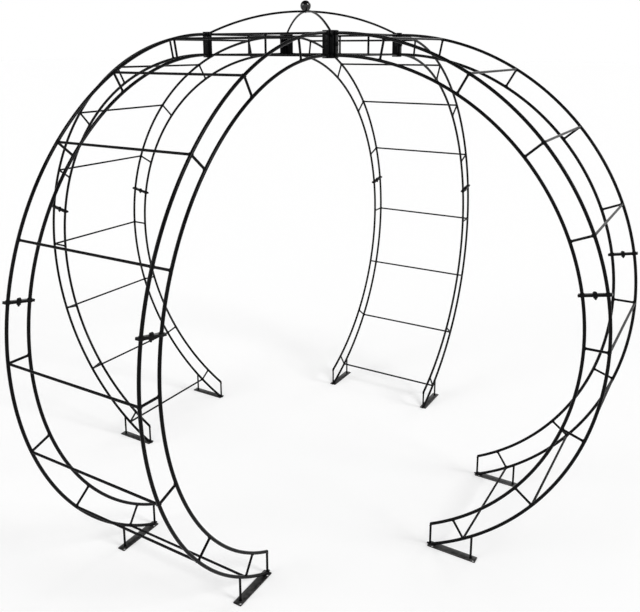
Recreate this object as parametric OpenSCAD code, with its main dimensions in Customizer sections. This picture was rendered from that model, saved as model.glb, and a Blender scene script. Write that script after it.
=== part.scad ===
// Open steel garden gazebo: a skeleton globe carried by four ladder arms.
// The plan is a square crown with two parallel ribs running out from each side, so the four
// corners stay open as entrances. Every arm is the front arm (towards -Y) turned by 90 degrees.

/* [Ribs] */
// Radius of the outer rib bars, to their centre line
rib_radius = 1400; // [1000:10:1800]
// Distance between the centre lines of a rib's outer and inner bars
rib_depth = 110; // [70:5:160]
// Diameter of the rib bars
bar_d = 16; // [12:1:24]
// Diameter of the struts, rungs, crown bars and hoops
rod_d = 12; // [8:1:14]
// Angle from the top of a rib half to its first strut
first_strut_angle = 11; // [9:0.5:12]
// Angle between neighbouring struts
strut_pitch = 18.9; // [18:0.1:19.2]
// Angle, from the top, at which the outer bar meets its foot plate
foot_angle = 154.5; // [153:0.5:158]

/* [Rib joints] */
// Width of the flat bars that close each rib half
flat_w = 25; // [20:1:40]
// Thickness of the flat bars that close each rib half
flat_t = 6; // [4:1:8]
// How far a joint flat runs past the rib bars
flat_overhang = 10; // [8:1:25]

/* [Crown] */
// Width of the square crown, across the outer faces of its corner angles
crown_width = 824; // [700:10:1000]
// Leg length of the corner angles
corner_leg = 60; // [54:2:80]
// Thickness of the corner angles
corner_t = 5; // [4:1:8]
// How far a corner angle runs above and below the rib bars' centre lines
corner_margin = 14; // [12:1:30]
// How far the crown bars overlap the corner angles
crown_bar_lap = 30; // [20:1:36]

/* [Dome] */
// Height of the hoops' tops above their ends
hoop_rise = 134; // [80:2:200]
// Height of the hoop ends below the top of the corner angles
hoop_seat_drop = 19; // [14:1:30]
// Diameter of the ball finial
ball_d = 60; // [40:2:90]
// Height cut off the ball's underside, so that it sits flat on the hoops
ball_flat = 6; // [2:1:12]

/* [Feet] */
// Width of the foot plates
foot_w = 46; // [46:2:90]
// Thickness of the foot plates
foot_t = 4; // [3:1:10]
// Corner radius of the foot plates
foot_corner_r = 5; // [2:1:8]
// How far a foot plate reaches inwards past its post
foot_heel = 2; // [1:0.5:10]
// Distance from the last strut's joint to the drop strut
drop_offset = 45; // [30:1:60]
// Diameter of the anchor holes
anchor_hole_d = 11; // [6:0.5:11]
// Sideways distance of the anchor holes from the rib
anchor_side = 14.5; // [14:0.5:16]
// Distance of the anchor holes from the post or strut beside them
anchor_ahead = 18; // [12:1:30]
// Distance from the outer anchor hole to the end of its plate
anchor_edge = 12; // [9:1:25]

/* [Bolts] */
// Diameter of the bolts
bolt_d = 10; // [6:1:12]
// Width across the flats of the bolt heads and nuts
bolt_hex_w = 17; // [14:1:19]
// Height of the bolt heads
bolt_head_h = 7.5; // [4:0.5:10]
// Height of the nuts
nut_h = 9; // [5:0.5:11]
// Length of thread that shows past a nut
bolt_tail = 7; // [3:1:10]

/* [Clearances] */
// Gap left where a round piece is welded to its neighbour
weld_gap = 0.3; // [0.1:0.1:0.5]
// Radial clearance between a bolt and its hole
bolt_clearance = 0.4; // [0.2:0.1:0.6]

/* [Hidden] */
// Struts in each rib half.
struts = 4;
bar_r = bar_d / 2;
rod_r = rod_d / 2;
inner_radius = rib_radius - rib_depth;
mid_radius = rib_radius - rib_depth / 2;
half_crown = crown_width / 2;
// Half the distance between an arm's two ribs, which bolt to the middle of the angles' legs.
rib_plane = half_crown - corner_leg / 2;
// Height of the ribs' common centre above the ground.
centre_height = foot_t - rib_radius * cos(foot_angle);
crown_top = centre_height + rib_radius + corner_margin;
crown_h = rib_depth + 2 * corner_margin;
// Angle of the bolted joint that splits each rib into an upper and a lower half.
joint_angle = 2 * first_strut_angle + (struts - 1) * strut_pitch;
last_strut_angle = joint_angle + first_strut_angle + (struts - 1) * strut_pitch;
// Angle that buries a bar's end half-way into its flat.
flat_bite = (flat_t / 2) / inner_radius * 180 / PI;
// Distances outwards from the crown's face, along the ground.
post_u = rib_radius * sin(foot_angle) - bar_r;
drop_u = rib_radius * sin(last_strut_angle) + drop_offset;
foot_start_u = post_u - rod_r - foot_heel;
inner_hole_u = post_u + anchor_ahead;
outer_hole_u = drop_u + anchor_ahead;
foot_end_u = outer_hole_u + anchor_edge;
inner_end_angle = 180 - asin(post_u / inner_radius);
drop_angle = 180 - asin(drop_u / rib_radius);
crown_bar_y = half_crown - corner_t - rod_r - weld_gap;
// The hoops end in the inner corners of the angles.
hoop_half_span = (half_crown - corner_t) * sqrt(2) - rod_r - 1.5 * weld_gap;
hoop_end_z = crown_top - hoop_seat_drop;
hoop_top_z = hoop_end_z + hoop_rise;
bolt_r = bolt_d / 2;
bolt_hole_r = bolt_r + bolt_clearance;
hex_r = bolt_hex_w / 2 / cos(30);
// How far a cutting shape runs past the face it cuts, and an arc past the plane that trims it.
cut_past = 1;
arc_past = 2;
finish = "#1d1e20";
$fn = 48;

ARMS = ["front", "right", "back", "left"];
CORNERS = ["front_right", "back_right", "back_left", "front_left"];
HANDS = ["left", "right"];

// Placement

// Turns the front arm's pieces round to another side.
module on_arm(arm) {
    rotate([0, 0, 90 * arm]) children();
}

// Stands a flat drawing up in a rib's plane: its X runs outwards from the crown's face,
// its Y upwards, and its origin is the centre of the rib's circle.
module in_rib_plane(side) {
    translate([side * rib_plane, -half_crown, centre_height]) rotate([90, 0, -90]) children();
}

// Turns to an angle measured outwards from the top of the rib: X then runs along the radius.
module at_angle(angle) {
    rotate([0, 0, 90 - angle]) children();
}

// Bars and flats of a rib

module arc_bar(radius, from_angle, to_angle) {
    at_angle(to_angle)
        rotate_extrude(angle = to_angle - from_angle, $fn = 360)
            translate([radius, 0])
                circle(r = bar_r, $fn = 32);
}

module rib_strut(angle) {
    at_angle(angle) translate([inner_radius, 0, 0]) rotate([0, 90, 0]) cylinder(h = rib_depth, r = rod_r);
}

module upright(u, top_y, bottom_y) {
    translate([u, bottom_y, 0]) rotate([-90, 0, 0]) cylinder(h = top_y - bottom_y, r = rod_r);
}

// Flat bar across both bars of a rib; reach is how far it runs past their centre lines.
module end_flat(angle, reach, shift) {
    at_angle(angle)
        translate([inner_radius - reach, shift, -flat_w / 2])
            cube([rib_depth + 2 * reach, flat_t, flat_w]);
}

module flat_hole(angle) {
    at_angle(angle)
        translate([mid_radius, 0, 0])
            rotate([90, 0, 0])
                cylinder(h = 4 * flat_t, r = bolt_hole_r, center = true);
}

// Rib halves

module upper_rib_shape() {
    difference() {
        union() {
            arc_bar(rib_radius, flat_bite, joint_angle - flat_bite);
            arc_bar(inner_radius, flat_bite, joint_angle - flat_bite);
            for (i = [0 : struts - 1]) rib_strut(first_strut_angle + i * strut_pitch);
            end_flat(0, corner_margin, -flat_t);
            end_flat(joint_angle, bar_r + flat_overhang, 0);
        }
        flat_hole(0);
        flat_hole(joint_angle);
    }
}

module lower_rib_shape() {
    ground_y = -centre_height;
    difference() {
        union() {
            arc_bar(rib_radius, joint_angle + flat_bite, foot_angle + arc_past);
            arc_bar(inner_radius, joint_angle + flat_bite, inner_end_angle);
            for (i = [0 : struts - 1]) rib_strut(joint_angle + first_strut_angle + i * strut_pitch);
            end_flat(joint_angle, bar_r + flat_overhang, -flat_t);
            upright(post_u, inner_radius * cos(inner_end_angle), ground_y);
            upright(drop_u, rib_radius * cos(drop_angle), ground_y);
        }
        flat_hole(joint_angle);
        translate([0, ground_y - rib_depth, -rib_depth])
            cube([2 * rib_radius, rib_depth + foot_t, 2 * rib_depth]);
    }
}

module upper_rib(arm, side) {
    color(finish) on_arm(arm) in_rib_plane(side) upper_rib_shape();
}

module lower_rib(arm, side) {
    color(finish) on_arm(arm) in_rib_plane(side) lower_rib_shape();
}

// Rungs between an arm's two outer bars, from one angle on

module rungs(arm, from_angle) {
    half_length = rib_plane - bar_r - weld_gap;
    color(finish)
        on_arm(arm)
            for (i = [0 : struts - 1]) {
                angle = from_angle + i * strut_pitch;
                out = half_crown + rib_radius * sin(angle);
                up = centre_height + rib_radius * cos(angle);
                translate([-half_length, -out, up])
                    rotate([0, 90, 0])
                        cylinder(h = 2 * half_length, r = rod_r);
            }
}

// Foot plates

module foot_outline() {
    length = foot_end_u - foot_start_u;
    r = foot_corner_r;
    translate([r, -foot_w / 2]) square([length - 2 * r, foot_w]);
    translate([0, r - foot_w / 2]) square([length, foot_w - 2 * r]);
    for (x = [r, length - r], y = [r - foot_w / 2, foot_w / 2 - r]) translate([x, y]) circle(r = r);
}

// The anchor holes of opposite arms lie on matching sides of their ribs.
module foot_plate(arm, side) {
    hole_x = anchor_side * (arm % 2 == 0 ? 1 : -1);
    color(finish)
        on_arm(arm)
            translate([side * rib_plane, -half_crown, 0])
                difference() {
                    translate([0, -foot_start_u, 0])
                        rotate([0, 0, -90])
                            linear_extrude(height = foot_t)
                                foot_outline();
                    for (u = [inner_hole_u, outer_hole_u])
                        translate([hole_x, -u, -foot_t])
                            cylinder(h = 3 * foot_t, d = anchor_hole_d);
                }
}

// Crown

module crown_bar(z) {
    length = crown_width - 2 * (corner_leg - crown_bar_lap);
    translate([-length / 2, -crown_bar_y, z]) rotate([0, 90, 0]) cylinder(h = length, r = rod_r);
}

module crown_side(arm) {
    color(finish)
        on_arm(arm) {
            crown_bar(centre_height + rib_radius);
            crown_bar(centre_height + inner_radius);
            translate([0, -crown_bar_y, centre_height + inner_radius]) cylinder(h = rib_depth, r = rod_r);
        }
}

// Angle at the corner between one arm and the next, drilled for the two ribs that meet there.
module corner_angle(corner) {
    color(finish)
        on_arm(corner)
            translate([half_crown, -half_crown, crown_top - crown_h])
                difference() {
                    translate([-corner_leg, 0, 0]) cube([corner_leg, corner_leg, crown_h]);
                    translate([-corner_leg - corner_t, corner_t, -cut_past])
                        cube([corner_leg, corner_leg, crown_h + 2 * cut_past]);
                    translate([-corner_leg / 2, corner_t / 2, crown_h / 2])
                        rotate([90, 0, 0])
                            cylinder(h = 4 * corner_t, r = bolt_hole_r, center = true);
                    translate([-corner_t / 2, corner_leg / 2, crown_h / 2])
                        rotate([0, 90, 0])
                            cylinder(h = 4 * corner_t, r = bolt_hole_r, center = true);
                }
}

// Dome

// Rod bent from one corner of the crown to the opposite one, cut off upright at both ends.
module hoop_rod() {
    radius = (hoop_half_span * hoop_half_span + hoop_rise * hoop_rise) / (2 * hoop_rise);
    reach = asin(hoop_half_span / radius) + arc_past;
    translate([0, 0, hoop_top_z - radius])
        rotate([90, 0, 0])
            intersection() {
                rotate([0, 0, 90 - reach])
                    rotate_extrude(angle = 2 * reach, $fn = 360)
                        translate([radius, 0])
                            circle(r = rod_r, $fn = 32);
                translate([-hoop_half_span, 0, -rod_d])
                    cube([2 * hoop_half_span, radius + rod_d, 2 * rod_d]);
            }
}

module whole_hoop() {
    color(finish) rotate([0, 0, -45]) hoop_rod();
}

// The second hoop is two halves, welded to the sides of the whole one at the top.
module split_hoop() {
    half_gap = rod_r + weld_gap;
    color(finish)
        rotate([0, 0, 45])
            difference() {
                hoop_rod();
                translate([-half_gap, -rod_d, hoop_top_z - rod_d])
                    cube([2 * half_gap, 2 * rod_d, 2 * rod_d]);
            }
}

module ball_finial() {
    seat_z = hoop_top_z + rod_r + weld_gap;
    color(finish)
        difference() {
            translate([0, 0, seat_z - ball_flat + ball_d / 2]) sphere(d = ball_d);
            translate([-ball_d / 2, -ball_d / 2, seat_z - ball_d]) cube(ball_d);
        }
}

// Bolts

// Bolt with its nut, head up, whose grip starts at the origin and runs down.
module bolt(grip) {
    cylinder(h = bolt_head_h, r = hex_r, $fn = 6);
    translate([0, 0, -grip - nut_h - bolt_tail]) cylinder(h = grip + nut_h + bolt_tail, r = bolt_r);
    translate([0, 0, -grip - nut_h]) cylinder(h = nut_h, r = hex_r, $fn = 6);
}

module rib_joint_bolts() {
    color(finish)
        for (arm = [0 : 3], side = [-1, 1])
            on_arm(arm)
                in_rib_plane(side)
                    at_angle(joint_angle)
                        translate([mid_radius, flat_t, 0])
                            rotate([-90, 0, 0])
                                bolt(2 * flat_t);
}

module crown_bolts() {
    color(finish)
        for (arm = [0 : 3], side = [-1, 1])
            on_arm(arm)
                in_rib_plane(side)
                    translate([flat_t, mid_radius, 0])
                        rotate([0, 90, 0])
                            bolt(flat_t + corner_t);
}

for (arm = [0 : 3], hand = [0, 1]) {
    upper_rib(arm, 2 * hand - 1);
    lower_rib(arm, 2 * hand - 1);
    foot_plate(arm, 2 * hand - 1);
}
for (arm = [0 : 3]) {
    rungs(arm, first_strut_angle);
    rungs(arm, joint_angle + first_strut_angle);
    crown_side(arm);
    corner_angle(arm);
}
whole_hoop();
split_hoop();
ball_finial();
rib_joint_bolts();
crown_bolts();
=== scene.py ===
"""Open garden gazebo with a domed top: its dressed pieces, finishes, light and camera.

Four ladder arms carry a square crown. Each class below makes one sub-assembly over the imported
frame: the arms with their ribs and rungs, the feet, the crown, the dome and the bolts.
Lengths are in metres, angles in degrees from the top of a rib.
"""

import logging
import math
import random
from dataclasses import dataclass, field
from enum import Enum
from typing import Iterable, Optional, Sequence, Union

import bmesh
import bpy
from mathutils import Matrix, Vector


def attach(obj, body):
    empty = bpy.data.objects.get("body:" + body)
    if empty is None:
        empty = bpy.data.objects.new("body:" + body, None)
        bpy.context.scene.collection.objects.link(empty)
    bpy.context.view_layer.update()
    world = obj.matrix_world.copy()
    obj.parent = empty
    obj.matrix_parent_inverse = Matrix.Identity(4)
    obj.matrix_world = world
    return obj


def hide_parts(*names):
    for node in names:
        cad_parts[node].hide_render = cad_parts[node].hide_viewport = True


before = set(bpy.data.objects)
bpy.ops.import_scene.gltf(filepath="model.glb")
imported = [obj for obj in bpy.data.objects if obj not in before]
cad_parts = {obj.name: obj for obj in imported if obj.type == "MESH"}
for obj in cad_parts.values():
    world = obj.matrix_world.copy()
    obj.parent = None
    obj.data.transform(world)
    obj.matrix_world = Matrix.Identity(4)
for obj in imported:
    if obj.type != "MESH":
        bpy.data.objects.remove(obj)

LOG = logging.getLogger("gazebo")
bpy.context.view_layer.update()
X_AXIS = Vector((1.0, 0.0, 0.0))
Y_AXIS = Vector((0.0, 1.0, 0.0))
Z_AXIS = Vector((0.0, 0.0, 1.0))
UNTURNED = Matrix.Identity(4)

# Angle, in radians, past which a fold of a flat piece is one of its edges.
EDGE_FOLD = 1.2
# Angles above which a seam shows, on flat iron and on weld beads.
IRON_SEAMS = 30.0
WELD_SEAMS = 80.0
# Distance below which two places are the same.
SAME_PLACE = 1e-6


class Arm(Enum):
    """The four arms, by the side of the crown that they spring from."""

    FRONT = 0
    RIGHT = 1
    BACK = 2
    LEFT = 3

    @property
    def label(self) -> str:
        """The arm's word in the frame's names."""
        return self.name.lower()

    @property
    def turn(self) -> Matrix:
        """The turn that brings the front arm's shape round to this arm."""
        return Matrix.Rotation(math.radians(90 * self.value), 4, "Z")


class Hand(Enum):
    """The two ribs of an arm, seen from outside the gazebo."""

    LEFT = -1
    RIGHT = 1

    @property
    def label(self) -> str:
        """The hand's word in the frame's names."""
        return self.name.lower()


class Half(Enum):
    """The two halves that a rib is bolted together from."""

    UPPER = "upper"
    LOWER = "lower"


@dataclass(frozen=True)
class GazeboSizes:
    """The sizes that several sub-assemblies share.

    Attributes:
        rib_radius: Radius of the outer rib bars' bend.
        rib_depth: Distance between the outer and the inner rib bars.
        bar_r: Radius of a rib bar.
        rod_r: Radius of the thinner rods.
        first_strut: Angle of a half's first strut from its upper end.
        strut_pitch: Angle between struts.
        struts: Struts in a half.
        foot_angle: Angle at which the outer bar meets its plate.
        crown_width: Width of the crown over its corner angles.
        corner_leg: Width of a corner angle's leg.
        corner_t: Thickness of a corner angle.
        corner_margin: How far the angles reach past the rib bars, up and down.
        flat_w: Width of the ribs' flats.
        flat_t: Thickness of the ribs' flats.
        flat_overhang: How far a joint's flat runs past the bars.
        foot_t: Thickness of a foot plate.
        drop_offset: How far the drop strut stands outside the last strut.
        weld_gap: Gap between pieces that are welded together.
    """

    rib_radius: float = 1.4
    rib_depth: float = 0.11
    bar_r: float = 0.008
    rod_r: float = 0.006
    first_strut: float = 11.0
    strut_pitch: float = 18.9
    struts: int = 4
    foot_angle: float = 154.5
    crown_width: float = 0.824
    corner_leg: float = 0.06
    corner_t: float = 0.005
    corner_margin: float = 0.014
    flat_w: float = 0.025
    flat_t: float = 0.006
    flat_overhang: float = 0.01
    foot_t: float = 0.004
    drop_offset: float = 0.045
    weld_gap: float = 0.0003

    @property
    def inner_radius(self) -> float:
        """Radius of the inner rib bars."""
        return self.rib_radius - self.rib_depth

    @property
    def mid_radius(self) -> float:
        """Radius on which the joint bolts lie."""
        return self.rib_radius - self.rib_depth / 2

    @property
    def half_crown(self) -> float:
        """Distance from the middle of the gazebo to a face of the crown."""
        return self.crown_width / 2

    @property
    def rib_plane(self) -> float:
        """Distance of a rib from its arm's middle plane."""
        return self.half_crown - self.corner_leg / 2

    @property
    def centre_height(self) -> float:
        """Height of the ribs' common centre."""
        return self.foot_t - self.rib_radius * math.cos(math.radians(self.foot_angle))

    @property
    def crown_top(self) -> float:
        """Height of the corner angles' upper ends."""
        return self.centre_height + self.rib_radius + self.corner_margin

    @property
    def crown_height(self) -> float:
        """Length of the corner angles."""
        return self.rib_depth + 2 * self.corner_margin

    @property
    def joint_angle(self) -> float:
        """Angle of the bolted joint between a rib's halves."""
        return 2 * self.first_strut + (self.struts - 1) * self.strut_pitch

    @property
    def post_out(self) -> float:
        """Distance of the inner foot post from the crown's face."""
        return self.rib_radius * math.sin(math.radians(self.foot_angle)) - self.bar_r

    @property
    def drop_out(self) -> float:
        """Distance of the outer drop strut from the crown's face."""
        last = self.strut_angles(Half.LOWER)[-1]
        return self.rib_radius * math.sin(math.radians(last)) + self.drop_offset

    def strut_angles(self, half: Half) -> list[float]:
        """Angles of the struts and rungs of one half.

        Args:
            half: Which half of the rib.

        Returns:
            The angles, from the top down.
        """
        start = self.first_strut + (self.joint_angle if half is Half.LOWER else 0.0)
        return [start + i * self.strut_pitch for i in range(self.struts)]

    def radial(self, angle: float) -> Vector:
        """Outward direction at an angle on the front arm."""
        a = math.radians(angle)
        return Vector((0.0, -math.sin(a), math.cos(a)))

    def tangent(self, angle: float) -> Vector:
        """Direction down a front rib's bar at an angle."""
        a = math.radians(angle)
        return Vector((0.0, -math.cos(a), -math.sin(a)))

    def on_rib(self, side: float, angle: float, radius: float) -> Vector:
        """Point on a front rib.

        Args:
            side: Signed share of the rib's distance from the arm's middle.
            angle: Angle from the top.
            radius: Distance from the rib's centre.

        Returns:
            The point in the gazebo's frame.
        """
        hub = Vector((side * self.rib_plane, -self.half_crown, self.centre_height))
        return hub + radius * self.radial(angle)


class Wire:
    """A shader socket that takes part in Python sums."""

    def __init__(self, graph: "Graph", socket: bpy.types.NodeSocket) -> None:
        """Wraps an output socket of a graph."""
        self.graph = graph
        self.socket = socket

    def _sum(self, operation: str, left: "Value", right: "Value") -> "Wire":
        """Adds a Math node.

        Args:
            operation: The Math node's operation.
            left: First value.
            right: Second value.

        Returns:
            The node's result.
        """
        return self.graph.node("ShaderNodeMath", {"operation": operation}, {0: left, 1: right})

    def __add__(self, other: "Value") -> "Wire":
        """Sum."""
        return self._sum("ADD", self, other)

    def __radd__(self, other: "Value") -> "Wire":
        """Reflected sum."""
        return self._sum("ADD", other, self)

    def __sub__(self, other: "Value") -> "Wire":
        """Difference."""
        return self._sum("SUBTRACT", self, other)

    def __rsub__(self, other: "Value") -> "Wire":
        """Reflected difference."""
        return self._sum("SUBTRACT", other, self)

    def __mul__(self, other: "Value") -> "Wire":
        """Product."""
        return self._sum("MULTIPLY", self, other)

    def __rmul__(self, other: "Value") -> "Wire":
        """Reflected product."""
        return self._sum("MULTIPLY", other, self)


Value = Union[Wire, float, Sequence[float]]


class Graph:
    """The node graph of one material or world."""

    def __init__(self, owner: Union[bpy.types.Material, bpy.types.World]) -> None:
        """Starts an empty graph.

        Args:
            owner: The material or world.
        """
        owner.use_nodes = True
        self.tree = owner.node_tree
        self.tree.nodes.clear()

    def node(
        self,
        kind: str,
        settings: Optional[dict[str, object]] = None,
        sockets: Optional[dict[Union[int, str], Value]] = None,
        out: Union[int, str] = 0,
    ) -> Wire:
        """Adds one node.

        Args:
            kind: Blender's type name of the node.
            settings: The node's own settings.
            sockets: Values or links of its input sockets.
            out: The output that is wanted.

        Returns:
            The wanted output.
        """
        made = self.tree.nodes.new(kind)
        for name, value in (settings or {}).items():
            setattr(made, name, value)
        for name, value in (sockets or {}).items():
            if isinstance(value, Wire):
                self.tree.links.new(value.socket, made.inputs[name])
            else:
                made.inputs[name].default_value = value
        return Wire(self, made.outputs[out] if len(made.outputs) else None)

    def noise(self, place: Wire, scale: float, detail: float, warp: float = 0.0) -> Wire:
        """Noise pattern on a place.

        Args:
            place: The coordinates.
            scale: Waves in a metre.
            detail: Octaves of finer noise.
            warp: Distortion of the pattern.

        Returns:
            A value between 0 and 1.
        """
        wants = {"Vector": place, "Scale": scale, "Detail": detail, "Distortion": warp}
        return self.node("ShaderNodeTexNoise", {}, wants)

    def ramp(self, value: Wire, low: float, high: float, start: float = 0.0, end: float = 1.0) -> Wire:
        """Maps a value from low..high to start..end, held at both ends."""
        wants = {"Value": value, "From Min": low, "From Max": high, "To Min": start, "To Max": end}
        return self.node("ShaderNodeMapRange", {"clamp": True}, wants)

    def blend(self, share: Wire, first: Value, second: Value) -> Wire:
        """Mixes two colours by a share."""
        wants = {0: share, 6: first, 7: second}
        return self.node("ShaderNodeMix", {"data_type": "RGBA"}, wants, 2)


@dataclass(frozen=True)
class Patterns:
    """The patterns that the coats share.

    A noise has its waves in a metre, its octaves and its distortion. A fade has the two levels between
    which a pattern comes in.

    Attributes:
        cloud: Noise of the broad clouds of tone.
        blotch: Noise of the blotches in which dust lies and edges rub.
        fleck: Noise of the single flecks of dust.
        scratch: Noise of the scratches.
        scratch_scale: Scale of the scratches along the three axes, drawn out upwards.
        scratch_fade: Fade of the scratches.
        scratch_tint: How far a scratch shows the rubbed colour.
        scratch_depth: Depth of a scratch in the texture.
        upward_fade: Fade of the dust with a face's upward turn.
        dust_fade: Fade of the dust with the blotches.
        dust_cloud: How far the clouds shift the dust.
        fleck_fade: Fade of the flecks.
        fleck_share: Share of the dust that is flecks.
        rub_base: Rubbing where there is no blotch.
        rub_fade: Fade of the rubbing.
        tone_fade: Fade from the darker to the lighter tone with the clouds.
        tones: The darker and the lighter tone, as shares of the coat's colour.
        cloud_rough: Change of roughness with the clouds.
        blotch_rough: Change of roughness with the blotches.
        dust_rough: Roughness that dust adds.
        rub_rough: Roughness that rubbing takes away.
        rough_limits: Least and most roughness.
        peel_octaves: Octaves of the orange peel, and of the finer peel on it.
        fine_size: Waves of the finer peel to one of the coarser.
        fine_height: Height of the finer peel, as a share of the coarser.
        bump: Strength of the texture.
    """

    cloud: tuple[float, float, float] = (7.0, 3.0, 0.4)
    blotch: tuple[float, float, float] = (46.0, 4.0, 0.2)
    fleck: tuple[float, float, float] = (900.0, 1.0, 0.0)
    scratch: tuple[float, float, float] = (620.0, 2.0, 1.1)
    scratch_scale: tuple[float, float, float] = (1.0, 1.0, 0.09)
    scratch_fade: tuple[float, float] = (0.67, 0.72)
    scratch_tint: float = 0.35
    scratch_depth: float = 0.5
    upward_fade: tuple[float, float] = (0.15, 0.95)
    dust_fade: tuple[float, float] = (0.62, 0.98)
    dust_cloud: float = 0.5
    fleck_fade: tuple[float, float] = (0.64, 0.7)
    fleck_share: float = 0.12
    rub_base: float = 0.35
    rub_fade: tuple[float, float] = (0.35, 0.85)
    tone_fade: tuple[float, float] = (0.3, 0.7)
    tones: tuple[float, float] = (0.75, 1.45)
    cloud_rough: float = 0.16
    blotch_rough: float = 0.14
    dust_rough: float = 0.4
    rub_rough: float = 0.08
    rough_limits: tuple[float, float] = (0.05, 0.95)
    peel_octaves: tuple[float, float] = (1.5, 1.0)
    fine_size: float = 3.1
    fine_height: float = 0.35
    bump: float = 0.8


@dataclass(frozen=True)
class Coat:
    """A black paint or powder coat on steel, with its texture, dust and rubbed edges.

    Attributes:
        name: Name of the finish.
        slot: Name of a material slot; not used.
        colour: Colour of the coat.
        rubbed: Colour of the coat where it is rubbed.
        dust: Colour of the dust.
        roughness: Mean roughness.
        gloss: Specular level.
        peel_size: Waves in a metre of the coat's orange-peel texture.
        peel_height: Height of that texture.
        dustiness: How much dust lies on upward faces.
        rubbing: How far the edges are rubbed.
        scratches: Strength of the fine scratches.
        patterns: The patterns of its tone, dust, rubbing and scratches.
    """

    name: str
    slot: str
    colour: tuple[float, float, float] = (0.0024, 0.0024, 0.0027)
    rubbed: tuple[float, float, float] = (0.016, 0.016, 0.017)
    dust: tuple[float, float, float] = (0.04, 0.038, 0.036)
    roughness: float = 0.18
    gloss: float = 0.07
    peel_size: float = 420.0
    peel_height: float = 0.00012
    dustiness: float = 0.14
    rubbing: float = 0.5
    scratches: float = 0.4
    patterns: Patterns = Patterns()

    def _tint(self, graph: Graph, cloud: Wire, worn: Wire, scratch: Wire, dusty: Wire) -> Wire:
        """Works out the colour.

        Args:
            graph: The material's graph.
            cloud: The broad clouds.
            worn: How far the coat is rubbed.
            scratch: The scratches.
            dusty: How much dust lies there.

        Returns:
            The colour.
        """
        grain = self.patterns
        dark, light = ((*[c * tone for c in self.colour], 1.0) for tone in grain.tones)
        rubbed = (*self.rubbed, 1.0)
        tint = graph.blend(graph.ramp(cloud, *grain.tone_fade), dark, light)
        tint = graph.blend(worn, tint, rubbed)
        tint = graph.blend(scratch * grain.scratch_tint, tint, rubbed)
        return graph.blend(dusty, tint, (*self.dust, 1.0))

    def _bump(self, graph: Graph, place: Wire, scratch: Wire) -> Wire:
        """Works out the orange-peel texture.

        Args:
            graph: The material's graph.
            place: The coordinates.
            scratch: The scratches.

        Returns:
            The bumped normal.
        """
        grain = self.patterns
        octaves, fine_octaves = grain.peel_octaves
        fine = graph.noise(place, self.peel_size * grain.fine_size, fine_octaves)
        peel = graph.noise(place, self.peel_size, octaves) + grain.fine_height * fine
        height = peel - grain.scratch_depth * scratch
        wants = {"Strength": grain.bump, "Distance": self.peel_height, "Height": height}
        return graph.node("ShaderNodeBump", {}, wants)

    def make(self) -> bpy.types.Material:
        """Builds the finish as a material.

        Returns:
            The material.
        """
        grain = self.patterns
        material = bpy.data.materials.new(self.name)
        graph = Graph(material)
        place = graph.node("ShaderNodeTexCoord", {}, {}, "Object")
        facing = graph.node("ShaderNodeNewGeometry", {}, {}, "Normal")
        upward = graph.node("ShaderNodeSeparateXYZ", {}, {0: facing}, 2)
        rub = graph.node("ShaderNodeAttribute", {"attribute_name": "rub"}, {}, "Fac")

        cloud = graph.noise(place, *grain.cloud)
        blotch = graph.noise(place, *grain.blotch)
        fleck = graph.noise(place, *grain.fleck)
        streaks = graph.node("ShaderNodeMapping", {}, {"Vector": place, "Scale": grain.scratch_scale})
        scratch = graph.ramp(graph.noise(streaks, *grain.scratch), *grain.scratch_fade) * self.scratches

        patches = graph.ramp(blotch + grain.dust_cloud * cloud, *grain.dust_fade)
        settled = graph.ramp(upward, *grain.upward_fade) * patches
        dusty = (settled + grain.fleck_share * graph.ramp(fleck, *grain.fleck_fade)) * self.dustiness
        worn = graph.ramp(rub * (grain.rub_base + blotch), *grain.rub_fade) * self.rubbing
        rough = self.roughness + grain.cloud_rough * (cloud - 0.5) + grain.blotch_rough * (blotch - 0.5)
        rough = rough + grain.dust_rough * dusty - grain.rub_rough * worn
        shader = graph.node(
            "ShaderNodeBsdfPrincipled",
            {},
            {
                "Base Color": self._tint(graph, cloud, worn, scratch, dusty),
                "Roughness": graph.ramp(rough, *grain.rough_limits, *grain.rough_limits),
                "Specular IOR Level": self.gloss,
                "Normal": self._bump(graph, place, scratch),
            },
        )
        graph.node("ShaderNodeOutputMaterial", {}, {"Surface": shader})
        return material


class Finish(Enum):
    """The gazebo's coats, by what they are on."""

    BARS = Coat("satin_black_bars", "frame_coat")
    RODS = Coat("satin_black_rods", "rod_coat", roughness=0.24, gloss=0.05, dustiness=0.12)
    PLATES = Coat(
        "dull_black_plates",
        "plate_coat",
        colour=(0.006, 0.006, 0.0064),
        rubbed=(0.07, 0.07, 0.072),
        dust=(0.15, 0.146, 0.14),
        roughness=0.34,
        gloss=0.5,
        peel_size=300.0,
        peel_height=0.0002,
        dustiness=0.34,
        rubbing=0.9,
        scratches=0.9,
    )
    ANGLES = Coat(
        "black_corner_angles",
        "plate_coat",
        colour=(0.002, 0.002, 0.0023),
        roughness=0.22,
        gloss=0.04,
        peel_size=300.0,
        peel_height=0.00015,
        dustiness=0.1,
        rubbing=0.8,
    )
    BALL = Coat(
        "gloss_black_ball",
        "ball_coat",
        colour=(0.0022, 0.0022, 0.0025),
        roughness=0.1,
        gloss=0.5,
        peel_size=260.0,
        peel_height=0.00003,
        dustiness=0.08,
        scratches=0.15,
    )
    BOLTS = Coat(
        "black_bolts",
        "bolt_coat",
        colour=(0.004, 0.004, 0.0043),
        rubbed=(0.06, 0.06, 0.062),
        roughness=0.42,
        peel_size=800.0,
        peel_height=0.00005,
        dustiness=0.2,
        rubbing=1.0,
    )
    WELDS = Coat(
        "coated_welds",
        "frame_coat",
        colour=(0.0032, 0.0032, 0.0035),
        roughness=0.4,
        peel_size=520.0,
        peel_height=0.0004,
        dustiness=0.2,
        rubbing=0.4,
    )


Paints = dict[Finish, bpy.types.Material]


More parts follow.
